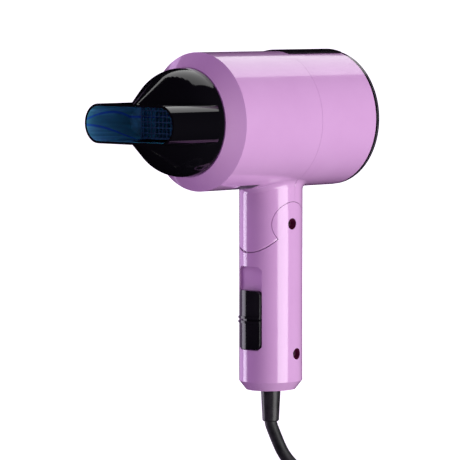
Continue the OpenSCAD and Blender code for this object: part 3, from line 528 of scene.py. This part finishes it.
def nozzle_material():
    """Glossy black outside. Inside it is teal, brightened as painted light for the dim mouth, with soft streaks
    along the air's way and two blue lines of painted reflection.
    """
    s = Shader("nozzle_gloss", Roughness=0.07, Coat_Weight=0.2, Coat_Roughness=0.03, Specular_IOR_Level=0.28)
    x, y, z = s.axes()
    half_t, wall, lip = 10.85 * MM, 0.8 * MM, 0.15 * MM         # half the blade's thickness, its wall and lip
    corner_slope, corner_at = 0.772, FRONT_Y + 16.385 * MM      # the slanted cut of the blade's rear corners
    dome_r, dome_end = 28.9 * MM, FRONT_Y - 1.2 * MM
    collar_r = 24.15 * MM
    low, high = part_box("concentrator_nozzle")
    flat = (high[0] - low[0]) / 2 - half_t
    from_middle = s.math("ABSOLUTE", x)
    over = s.math("MAXIMUM", s.math("SUBTRACT", from_middle, flat), 0.0)
    up = s.math("SUBTRACT", z, BARREL_Z)
    inside = s.math("LESS_THAN", s.distance(over, up), half_t - wall)
    behind_lip = s.math("GREATER_THAN", y, MOUTH_Y + lip)
    cut_corner = s.math("ADD", y, s.math("MULTIPLY", from_middle, corner_slope))
    in_blade = s.math("LESS_THAN", cut_corner, corner_at)
    from_axis = s.distance(x, up)
    before_base = s.math("LESS_THAN", y, dome_end)
    in_dome = s.math("MULTIPLY", s.math("LESS_THAN", from_axis, dome_r), before_base)
    in_collar = s.math("LESS_THAN", from_axis, collar_r)
    hollow = s.math("MAXIMUM", s.math("MAXIMUM", in_blade, in_dome), in_collar)
    mask = s.math("MULTIPLY", s.math("MULTIPLY", inside, behind_lip), hollow)
    streak = s.noise(60, 2, stretch=(1.6, 0.16, 2.2), distortion=0.8)
    # painted light: the teal is the interior's own colour, made brighter so that the shaded inside of the mouth
    # looks lit
    teal = s.ramp(streak, [
        (0.35, (0.08, 0.42, 0.4)), (0.52, (0.12, 0.62, 0.68)),
        (0.6, (0.2, 0.8, 0.92)), (0.68, (0.1, 0.56, 0.62)),
    ])
    # painted reflection: two thin blue curved lines on the inner wall stand in for reflections seen in the
    # glossy interior
    line_depth, line_core, line_edge = 32 * MM, 0.35 * MM, 0.9 * MM
    deep_in = s.span(y, MOUTH_Y, MOUTH_Y + line_depth, 0, 1)
    painted_reflection_arcs = []
    for first, slope, bend in ((2, 14, -13.5), (-1, -1.5, -8)):     # each line's height over the way in
        line = s.math("ADD", s.math("MULTIPLY", deep_in, slope * MM), first * MM)
        line = s.math("ADD", line, s.math("MULTIPLY", s.math("MULTIPLY", deep_in, deep_in), bend * MM))
        painted_reflection_arcs.append(s.span(s.math("ABSOLUTE", s.math("SUBTRACT", up, line)), line_core, line_edge, 1, 0))
    teal_with_painted_reflections = s.mix(s.math("MULTIPLY", s.math("MAXIMUM", *painted_reflection_arcs), 0.85), teal, (0.05, 0.3, 1.0))
    s.colour(s.mix(mask, BLACK, teal_with_painted_reflections))
    s.roughness(s.span(s.noise(300, 2), 0.3, 0.7, 0.05, 0.1))
    s.bump(s.noise(70, 2), 0.02, 0.0006)
    return s


def grille_material():
    """Black gloss, with the narrow tops of the ribs a pale grey."""
    s = Shader("grille_gloss", Roughness=0.12, Coat_Weight=0.2, Coat_Roughness=0.04, Specular_IOR_Level=0.3)
    sunk, pale_top_depth, pale_top_grey = 1 * MM, 0.12 * MM, (0.2, 0.2, 0.205)
    rib_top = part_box("intake_grille")[1][1] - sunk
    from_top = s.math("ABSOLUTE", s.math("SUBTRACT", s.axes()[1], rib_top))
    s.colour(s.mix(s.math("LESS_THAN", from_top, pale_top_depth), BLACK, pale_top_grey))
    s.roughness(s.span(s.noise(300, 2), 0.3, 0.7, 0.09, 0.16))
    s.bump(s.noise(90, 2), 0.03, 0.0006)
    return s


def mesh_material():
    """Woven screen: crossed fine waves over dark wire."""
    s = Shader("screen_mesh", Roughness=0.5, Metallic=0.4)
    wires = []
    for axis in ("X", "Z"):
        wave = s.add("ShaderNodeTexWave", bands_direction=axis)
        wave.inputs["Scale"].default_value = 260
        s.link(s.coords, wave.inputs["Vector"])
        wires.append(wave.outputs["Fac"])
    weave = s.math("MAXIMUM", *wires)
    s.colour(s.ramp(weave, [(0.4, (0.002, 0.002, 0.003)), (0.75, (0.06, 0.06, 0.065))]))
    s.bump(weave, 0.6, 0.0004)
    return s


def rubber(name, colour, rough=0.5):
    s = Shader(name, Roughness=rough, Specular_IOR_Level=0.4)
    fine = s.noise(1500, 3)
    s.colour(s.ramp(s.noise(120, 3), [(0.3, colour), (0.7, pale(colour, 0.03))]))
    s.roughness(s.span(fine, 0.3, 0.7, rough * 0.85, rough * 1.15))
    s.bump(fine, 0.15, 0.0002)
    return s


def fabric(name, colour):
    s = Shader(name, Roughness=0.9, Sheen_Weight=0.3)
    wave = s.add("ShaderNodeTexWave", bands_direction="DIAGONAL")
    wave.inputs["Scale"].default_value = 500
    s.link(s.coords, wave.inputs["Vector"])
    s.colour(s.ramp(wave.outputs["Fac"], [(0.2, deep(colour, 0.4)), (0.8, pale(colour, 0.08))]))
    s.bump(wave.outputs["Fac"], 0.5, 0.0003)
    return s


def label_material():
    """Satin film with no print, faintly mottled."""
    s = Shader("label_film", Roughness=0.42)
    s.colour(s.ramp(s.noise(600, 2), [(0.3, (0.035, 0.033, 0.04)), (0.7, (0.06, 0.057, 0.068))]))
    s.bump(s.noise(1800, 2), 0.1, 0.0001)
    return s


def pink_material():
    """The shells' plastic. The walls of the two deep screw holes carry painted shade, a dark wine red where
    shade falls in them.
    """
    s = moulded("pink_gloss", PINK, rough=0.17, coat=0.8, spread=0.03)
    body = s.shader.inputs["Base Color"].links[0].from_socket
    # painted shade: the hole walls are coloured dark wine red to stand in for the shade deep inside the two
    # screw holes
    hole_r, skin, inner_end, hole_shade_wine = 3.25 * MM, 0.35 * MM, 5 * MM, (0.22, 0.012, 0.08)
    x, y, z = s.axes()
    holes = []
    for node in ("hinge_screw", "handle_screw"):
        centre = middle(node)
        across = s.math("SUBTRACT", y, centre.y)
        along = s.math("SUBTRACT", z, centre.z)
        holes.append(s.math("LESS_THAN", s.distance(across, along), hole_r))
    below_skin = s.math("LESS_THAN", x, GRIP_W / 2 - skin)
    outer_half = s.math("GREATER_THAN", x, inner_end)
    inside = s.math("MULTIPLY", s.math("MAXIMUM", *holes), s.math("MULTIPLY", below_skin, outer_half))
    s.colour(s.mix(inside, body, hole_shade_wine))
    return s


MATERIALS = {
    "pink_gloss": pink_material(),
    "black_gloss": moulded("black_gloss", BLACK, rough=0.1, coat=0.15, spread=0.01, specular=0.25),
    "smoke_gloss": nozzle_material(),
    "black_satin": moulded("black_satin", (0.02, 0.02, 0.022), rough=0.42, coat=0.0, grain=0.2),
    "label_grey": label_material(),
    "screen_mesh": mesh_material(),
    "duct_plastic": moulded("duct_plastic", (0.03, 0.03, 0.034), rough=0.45, coat=0.0, grain=0.2),
    "white_plastic": moulded("white_plastic", (0.7, 0.67, 0.6), rough=0.4, coat=0.0, grain=0.1),
    "steel": metal("steel", (0.66, 0.67, 0.69), 0.22, (1, 14, 1)),
    # the screws' dark steel carries a wine tint as painted shade, matching the shaded holes they sit in
    "zinc_steel": metal("zinc_steel", (0.16, 0.05, 0.09), 0.42),
    "iron": metal("iron", (0.1, 0.1, 0.11), 0.6),
    "copper": metal("copper", (0.62, 0.25, 0.11), 0.35, (1, 1, 20), 900),
    "bronze": metal("bronze", (0.5, 0.33, 0.15), 0.45),
    "brass": metal("brass", (0.72, 0.52, 0.2), 0.3),
    "mica": sheet_material("mica", (0.32, 0.22, 0.1), (0.62, 0.5, 0.28)),
    "ceramic": sheet_material("ceramic", (0.6, 0.56, 0.46), (0.78, 0.74, 0.64), 300),
    "pcb": sheet_material("pcb", (0.01, 0.07, 0.025), (0.03, 0.16, 0.06), 1400),
    "nichrome": metal("nichrome", (0.3, 0.29, 0.3), 0.4),
    "grille_blue": moulded("grille_blue", (0.06, 0.3, 0.4), rough=0.35, coat=0.1, grain=0.1),
    "wire_red": moulded("wire_red", (0.42, 0.02, 0.02), rough=0.4, coat=0.0),
    "wire_blue": moulded("wire_blue", (0.02, 0.06, 0.32), rough=0.4, coat=0.0),
    "cord_rubber": rubber("cord_rubber", (0.008, 0.008, 0.009)),
    "relief_rubber": rubber("relief_rubber", (0.008, 0.0076, 0.009), 0.3),
    "tie_strap": fabric("tie_strap", (0.02, 0.02, 0.024)),
    "pin_nickel": metal("pin_nickel", (0.75, 0.74, 0.7), 0.15, (1, 12, 12)),
}


def soft_edges(obj, width):
    """Small roundings on the moulded edges, so that they catch a thin line of light."""
    bevel = obj.modifiers.new("soft_edges", "BEVEL")
    bevel.width = width
    bevel.segments = 2
    bevel.limit_method = "ANGLE"
    bevel.angle_limit = math.radians(38)


def dress(obj, slot):
    obj.data.materials.clear()
    obj.data.materials.append(MATERIALS[slot].material)


EDGE_WIDTHS = {
    "front_barrel_shell": 0.3, "rear_barrel_shell": 0.3, "handle_right_shell": 0.3, "handle_left_shell": 0.3,
    "switch_slider": 0.5, "concentrator_nozzle": 0.25, "top_trim_strip": 0.3, "intake_grille": 0.2,
    "plug_body": 0.8,
}
DETAIL_SLOTS = {
    "neck_fillet_front": "pink_gloss", "neck_fillet_rear": "pink_gloss", "nozzle_guard_grid": "grille_blue",
    "tie_strap_loop": "tie_strap", "tie_strap_tail": "tie_strap", "plug_bend_ribs": "relief_rubber",
}

for entry in frame["record"]["subparts"]:
    dress(NODES[entry["node"]], entry["material_slot"])
NODES["intake_grille"].data.materials[0] = grille_material().material
for name, width in EDGE_WIDTHS.items():
    soft_edges(NODES[name], width * MM)
dress(cord, "cord_rubber")
for name, slot in DETAIL_SLOTS.items():
    dress(bpy.data.objects[name], slot)

# ---------------------------------------------------------------- stage

FLOOR_HALF = 9
BACKDROP_R = 8.5
STAGE_WHITE = (0.9, 0.9, 0.9)
FLOOR_GLOW = 0.6            # under the dryer, where the lamps reach
FAR_GLOW = 1.05
AMBIENT = (0.76, 0.42, 1, 1)
AMBIENT_STRENGTH = 0.33


def stage_material(name, glow):
    """A studio surface that glows a little, and more far out, so that it stays white away from the lights."""
    s = Shader(name, Roughness=0.7, Emission_Color=(1, 1, 1, 1))
    s.colour(s.ramp(s.noise(2, 2), [(0.3, deep(STAGE_WHITE, 0.005)), (0.7, STAGE_WHITE)]))
    away = s.add("ShaderNodeVectorMath", operation="LENGTH")
    s.link(s.coords, away.inputs[0])
    s.link(s.span(away.outputs["Value"], 0.3, 1.6, glow, FAR_GLOW), s.shader.inputs["Emission Strength"])
    return s.material


def hide_from_object(stage_object):
    """The pale surroundings are for the camera: the dryer's gloss shows the lamps only, as in a dark studio."""
    stage_object.visible_diffuse = False
    stage_object.visible_glossy = False
    stage_object.visible_transmission = False
    stage_object.visible_shadow = False


def add_floor():
    mesh = bpy.data.meshes.new("floor")
    corners = [(x * FLOOR_HALF, y * FLOOR_HALF, 0) for x, y in ((-1, -1), (1, -1), (1, 1), (-1, 1))]
    mesh.from_pydata(corners, [], [(0, 1, 2, 3)])
    mesh.materials.append(stage_material("floor_white", FLOOR_GLOW))
    floor = new_object("floor", mesh)
    floor.location = (0, 0, SURFACE_Z)
    hide_from_object(floor)


def add_backdrop():
    """A closed white shell far around the stage."""
    mesh = bpy.data.meshes.new("backdrop")
    shell = bmesh.new()
    bmesh.ops.create_uvsphere(shell, u_segments=48, v_segments=24, radius=BACKDROP_R)
    bmesh.ops.reverse_faces(shell, faces=shell.faces)
    shell.to_mesh(mesh)
    shell.free()
    mesh.materials.append(stage_material("backdrop_white", FAR_GLOW))
    backdrop = new_object("backdrop", mesh)
    hide_from_object(backdrop)


def around(turn, distance, height):
    """A place that is turned to the right of the camera by so many degrees, seen from the dryer."""
    angle = VIEW_AZIMUTH + math.radians(turn)
    return Vector((math.sin(angle) * distance, -math.cos(angle) * distance, height))


def softbox(name, place, size, radiance, aim=(0, 0, 0.04), colour=(1, 1, 1)):
    data = bpy.data.lights.new(name, "AREA")
    data.shape = "RECTANGLE"
    data.size, data.size_y = size
    data.energy = radiance * math.pi * size[0] * size[1]
    data.color = colour
    light = new_object(name, data)
    light.location = place
    light.rotation_euler = (Vector(aim) - Vector(place)).to_track_quat("-Z", "Y").to_euler()
    light.visible_camera = False


add_floor()
add_backdrop()
softbox("right_softbox", around(55, 1.6, -0.15), (1.27, 1.8), 3.8)
softbox("left_strip", around(-107, 1.4, 0.1), (0.5, 1.6), 3.7, colour=(0.92, 0.88, 1.0))
softbox("left_wash", around(-128, 1.5, 0.1), (1.5, 1.6), 0.85, colour=(0.84, 0.58, 1.0))
softbox("ceiling_panel", (-0.55, 1.02, 1.41), (1.65, 1.76), 1.6, aim=(-0.55, 1.02, 0))

world = bpy.data.worlds.new("studio")
world.use_nodes = True
world.node_tree.nodes["Background"].inputs["Color"].default_value = AMBIENT
world.node_tree.nodes["Background"].inputs["Strength"].default_value = AMBIENT_STRENGTH
world.cycles_visibility.glossy = False
bpy.context.scene.world = world
bpy.context.scene.view_settings.view_transform = "Standard"
